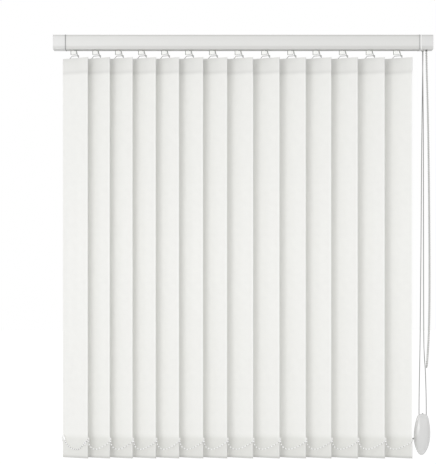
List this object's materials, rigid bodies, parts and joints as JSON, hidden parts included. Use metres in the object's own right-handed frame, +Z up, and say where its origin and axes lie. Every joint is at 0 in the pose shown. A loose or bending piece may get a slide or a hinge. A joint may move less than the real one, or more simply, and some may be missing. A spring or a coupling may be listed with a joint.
{
  "type": "vertical blind",
  "caption": "Vertical blind with a headrail, pale fabric vanes on travelling carriers, bottom chains, a tilt chain loop and a weighted draw cord.",
  "frame": {"origin": "middle of the headrail's top face, which is fixed under a ceiling or lintel", "axes": "+X along the headrail to the control end, -Y to the room, +Z up"},
  "size_m": [1.1, 0.0568, 1.225],
  "materials": {
    "rail_paint": "satin off-white",
    "cap_plastic": "glossy off-white",
    "runner_plastic": "natural white",
    "stem_plastic": "smooth light grey",
    "rod_metal": "mill finish",
    "pin_steel": "drawn",
    "vane_fabric": "woven, pale grey",
    "chain_plastic": "white",
    "cord_fibre": "braided, white",
    "weight_plastic": "glossy light grey"
  },
  "bodies": {
    "root": {"headrail": "rail_paint", "control_cap": "cap_plastic", "return_cap": "cap_plastic", "guide_axle": "pin_steel", "tilt_chain": "chain_plastic", "traverse_cord": "cord_fibre", "weight_shell_front": "weight_plastic", "weight_shell_rear": "weight_plastic", "weight_pin": "pin_steel", "carrier_01": "runner_plastic"},
    "tilt_drive": {"tilt_rod": "rod_metal", "chain_wheel": "runner_plastic"},
    "return_wheel": {"return_pulley": "runner_plastic"},
    "front_guide": {"front_guide_pulley": "runner_plastic"},
    "rear_guide": {"rear_guide_pulley": "runner_plastic"},
    "weight_wheel": {"weight_pulley": "runner_plastic"},
    "near_chain": {"front_chain": "chain_plastic"},
    "far_chain": {"rear_chain": "chain_plastic"},
    "slat_01": {"stem_01": "stem_plastic", "vane_01": "vane_fabric", "chain_tail": "chain_plastic"},
    "slat_02": {"stem_02": "stem_plastic", "vane_02": "vane_fabric"},
    "runner_02": {"carrier_02": "runner_plastic"},
    "slat_03": {"stem_03": "stem_plastic", "vane_03": "vane_fabric"},
    "runner_03": {"carrier_03": "runner_plastic"},
    "slat_04": {"stem_04": "stem_plastic", "vane_04": "vane_fabric"},
    "runner_04": {"carrier_04": "runner_plastic"},
    "slat_05": {"stem_05": "stem_plastic", "vane_05": "vane_fabric"},
    "runner_05": {"carrier_05": "runner_plastic"},
    "slat_06": {"stem_06": "stem_plastic", "vane_06": "vane_fabric"},
    "runner_06": {"carrier_06": "runner_plastic"},
    "slat_07": {"stem_07": "stem_plastic", "vane_07": "vane_fabric"},
    "runner_07": {"carrier_07": "runner_plastic"},
    "slat_08": {"stem_08": "stem_plastic", "vane_08": "vane_fabric"},
    "runner_08": {"carrier_08": "runner_plastic"},
    "slat_09": {"stem_09": "stem_plastic", "vane_09": "vane_fabric"},
    "runner_09": {"carrier_09": "runner_plastic"},
    "slat_10": {"stem_10": "stem_plastic", "vane_10": "vane_fabric"},
    "runner_10": {"carrier_10": "runner_plastic"},
    "slat_11": {"stem_11": "stem_plastic", "vane_11": "vane_fabric"},
    "runner_11": {"carrier_11": "runner_plastic"},
    "slat_12": {"stem_12": "stem_plastic", "vane_12": "vane_fabric"},
    "runner_12": {"carrier_12": "runner_plastic"},
    "slat_13": {"stem_13": "stem_plastic", "vane_13": "vane_fabric"},
    "runner_13": {"carrier_13": "runner_plastic"},
    "slat_14": {"stem_14": "stem_plastic", "vane_14": "vane_fabric"},
    "runner_14": {"carrier_14": "runner_plastic"}
  },
  "joints": [
    {"name": "traverse", "type": "slide", "parent": "root", "child": "runner_14", "axis": [1, 0, 0], "range_m": [-0.6057, 0], "deforming": ["front_chain", "rear_chain"]},
    {"name": "traverse_02", "type": "slide", "parent": "root", "child": "runner_02", "axis": [1, 0, 0], "range_m": [-0.04123, 0]},
    {"name": "traverse_03", "type": "slide", "parent": "root", "child": "runner_03", "axis": [1, 0, 0], "range_m": [-0.08387, 0]},
    {"name": "traverse_04", "type": "slide", "parent": "root", "child": "runner_04", "axis": [1, 0, 0], "range_m": [-0.12715, 0]},
    {"name": "traverse_05", "type": "slide", "parent": "root", "child": "runner_05", "axis": [1, 0, 0], "range_m": [-0.17044, 0]},
    {"name": "traverse_06", "type": "slide", "parent": "root", "child": "runner_06", "axis": [1, 0, 0], "range_m": [-0.21534, 0]},
    {"name": "traverse_07", "type": "slide", "parent": "root", "child": "runner_07", "axis": [1, 0, 0], "range_m": [-0.26025, 0]},
    {"name": "traverse_08", "type": "slide", "parent": "root", "child": "runner_08", "axis": [1, 0, 0], "range_m": [-0.30838, 0]},
    {"name": "traverse_09", "type": "slide", "parent": "root", "child": "runner_09", "axis": [1, 0, 0], "range_m": [-0.35813, 0]},
    {"name": "traverse_10", "type": "slide", "parent": "root", "child": "runner_10", "axis": [1, 0, 0], "range_m": [-0.40723, 0]},
    {"name": "traverse_11", "type": "slide", "parent": "root", "child": "runner_11", "axis": [1, 0, 0], "range_m": [-0.45472, 0]},
    {"name": "traverse_12", "type": "slide", "parent": "root", "child": "runner_12", "axis": [1, 0, 0], "range_m": [-0.50414, 0]},
    {"name": "traverse_13", "type": "slide", "parent": "root", "child": "runner_13", "axis": [1, 0, 0], "range_m": [-0.55454, 0]},
    {"name": "tilt_01", "type": "hinge", "parent": "root", "child": "slat_01", "pos_m": [-0.4864, 0, -0.03], "axis": [0, 0, -1], "range_deg": [-20, 136]},
    {"name": "tilt_02", "type": "hinge", "parent": "runner_02", "child": "slat_02", "pos_m": [-0.42289, 0, -0.03], "axis": [0, 0, -1], "range_deg": [-20, 136]},
    {"name": "tilt_03", "type": "hinge", "parent": "runner_03", "child": "slat_03", "pos_m": [-0.35689, 0, -0.03], "axis": [0, 0, -1], "range_deg": [-20, 136]},
    {"name": "tilt_04", "type": "hinge", "parent": "runner_04", "child": "slat_04", "pos_m": [-0.28988, 0, -0.03], "axis": [0, 0, -1], "range_deg": [-20, 136]},
    {"name": "tilt_05", "type": "hinge", "parent": "runner_05", "child": "slat_05", "pos_m": [-0.22287, 0, -0.03], "axis": [0, 0, -1], "range_deg": [-20, 136]},
    {"name": "tilt_06", "type": "hinge", "parent": "runner_06", "child": "slat_06", "pos_m": [-0.15336, 0, -0.03], "axis": [0, 0, -1], "range_deg": [-20, 136]},
    {"name": "tilt_07", "type": "hinge", "parent": "runner_07", "child": "slat_07", "pos_m": [-0.08386, 0, -0.03], "axis": [0, 0, -1], "range_deg": [-20, 136]},
    {"name": "tilt_08", "type": "hinge", "parent": "runner_08", "child": "slat_08", "pos_m": [-0.00935, 0, -0.03], "axis": [0, 0, -1], "range_deg": [-20, 136]},
    {"name": "tilt_09", "type": "hinge", "parent": "runner_09", "child": "slat_09", "pos_m": [0.06766, 0, -0.03], "axis": [0, 0, -1], "range_deg": [-20, 136]},
    {"name": "tilt_10", "type": "hinge", "parent": "runner_10", "child": "slat_10", "pos_m": [0.14367, 0, -0.03], "axis": [0, 0, -1], "range_deg": [-20, 136]},
    {"name": "tilt_11", "type": "hinge", "parent": "runner_11", "child": "slat_11", "pos_m": [0.21718, 0, -0.03], "axis": [0, 0, -1], "range_deg": [-20, 136]},
    {"name": "tilt_12", "type": "hinge", "parent": "runner_12", "child": "slat_12", "pos_m": [0.29368, 0, -0.03], "axis": [0, 0, -1], "range_deg": [-20, 136]},
    {"name": "tilt_13", "type": "hinge", "parent": "runner_13", "child": "slat_13", "pos_m": [0.37169, 0, -0.03], "axis": [0, 0, -1], "range_deg": [-20, 136]},
    {"name": "tilt", "type": "hinge", "parent": "runner_14", "child": "slat_14", "pos_m": [0.4512, 0, -0.03], "axis": [0, 0, -1], "range_deg": [-20, 136]},
    {"name": "near_chain_swing", "type": "hinge", "parent": "slat_01", "child": "near_chain", "pos_m": [-0.44663, -0.02485, -1.1686], "axis": [0, 0, -1], "range_deg": [-136, 20]},
    {"name": "far_chain_swing", "type": "hinge", "parent": "slat_01", "child": "far_chain", "pos_m": [-0.52617, 0.02485, -1.1686], "axis": [0, 0, -1], "range_deg": [-136, 20]},
    {"name": "rod_spin", "type": "hinge", "parent": "root", "child": "tilt_drive", "pos_m": [0.533, 0.008, -0.017], "axis": [1, 0, 0], "range_deg": [-160, 1088]},
    {"name": "return_pulley_spin", "type": "hinge", "parent": "root", "child": "return_wheel", "pos_m": [-0.5244, 0, -0.027], "axis": [0, 0, 1], "range_deg": [-5341.1, 0]},
    {"name": "front_guide_spin", "type": "hinge", "parent": "root", "child": "front_guide", "pos_m": [0.5165, -0.0065, -0.0325], "axis": [0, 1, 0], "range_deg": [-6311.8, 0]},
    {"name": "rear_guide_spin", "type": "hinge", "parent": "root", "child": "rear_guide", "pos_m": [0.5165, 0.0065, -0.0325], "axis": [0, 1, 0], "range_deg": [0, 6311.8]},
    {"name": "weight_pulley_spin", "type": "hinge", "parent": "root", "child": "weight_wheel", "pos_m": [0.52145, 0, -1.119], "axis": [0, 1, 0], "range_deg": [0, 3291.5]}
  ],
  "couplings": [
    {"joint": "traverse_02", "follows": "traverse", "ratio": 0.067733},
    {"joint": "traverse_03", "follows": "traverse", "ratio": 0.13813},
    {"joint": "traverse_04", "follows": "traverse", "ratio": 0.2096},
    {"joint": "traverse_05", "follows": "traverse", "ratio": 0.28107},
    {"joint": "traverse_06", "follows": "traverse", "ratio": 0.3552},
    {"joint": "traverse_07", "follows": "traverse", "ratio": 0.42933},
    {"joint": "traverse_08", "follows": "traverse", "ratio": 0.5088},
    {"joint": "traverse_09", "follows": "traverse", "ratio": 0.59093},
    {"joint": "traverse_10", "follows": "traverse", "ratio": 0.672},
    {"joint": "traverse_11", "follows": "traverse", "ratio": 0.7504},
    {"joint": "traverse_12", "follows": "traverse", "ratio": 0.832},
    {"joint": "traverse_13", "follows": "traverse", "ratio": 0.9152},
    {"joint": "tilt_01", "follows": "tilt", "ratio": 1},
    {"joint": "tilt_02", "follows": "tilt", "ratio": 1},
    {"joint": "tilt_03", "follows": "tilt", "ratio": 1},
    {"joint": "tilt_04", "follows": "tilt", "ratio": 1},
    {"joint": "tilt_05", "follows": "tilt", "ratio": 1},
    {"joint": "tilt_06", "follows": "tilt", "ratio": 1},
    {"joint": "tilt_07", "follows": "tilt", "ratio": 1},
    {"joint": "tilt_08", "follows": "tilt", "ratio": 1},
    {"joint": "tilt_09", "follows": "tilt", "ratio": 1},
    {"joint": "tilt_10", "follows": "tilt", "ratio": 1},
    {"joint": "tilt_11", "follows": "tilt", "ratio": 1},
    {"joint": "tilt_12", "follows": "tilt", "ratio": 1},
    {"joint": "tilt_13", "follows": "tilt", "ratio": 1},
    {"joint": "near_chain_swing", "follows": "tilt", "ratio": -1},
    {"joint": "far_chain_swing", "follows": "tilt", "ratio": -1},
    {"joint": "rod_spin", "follows": "tilt", "ratio": 8},
    {"joint": "return_pulley_spin", "follows": "traverse", "rad_per_m": 153.85},
    {"joint": "front_guide_spin", "follows": "traverse", "rad_per_m": 181.82},
    {"joint": "rear_guide_spin", "follows": "traverse", "rad_per_m": -181.82},
    {"joint": "weight_pulley_spin", "follows": "traverse", "rad_per_m": -94.787}
  ]
}
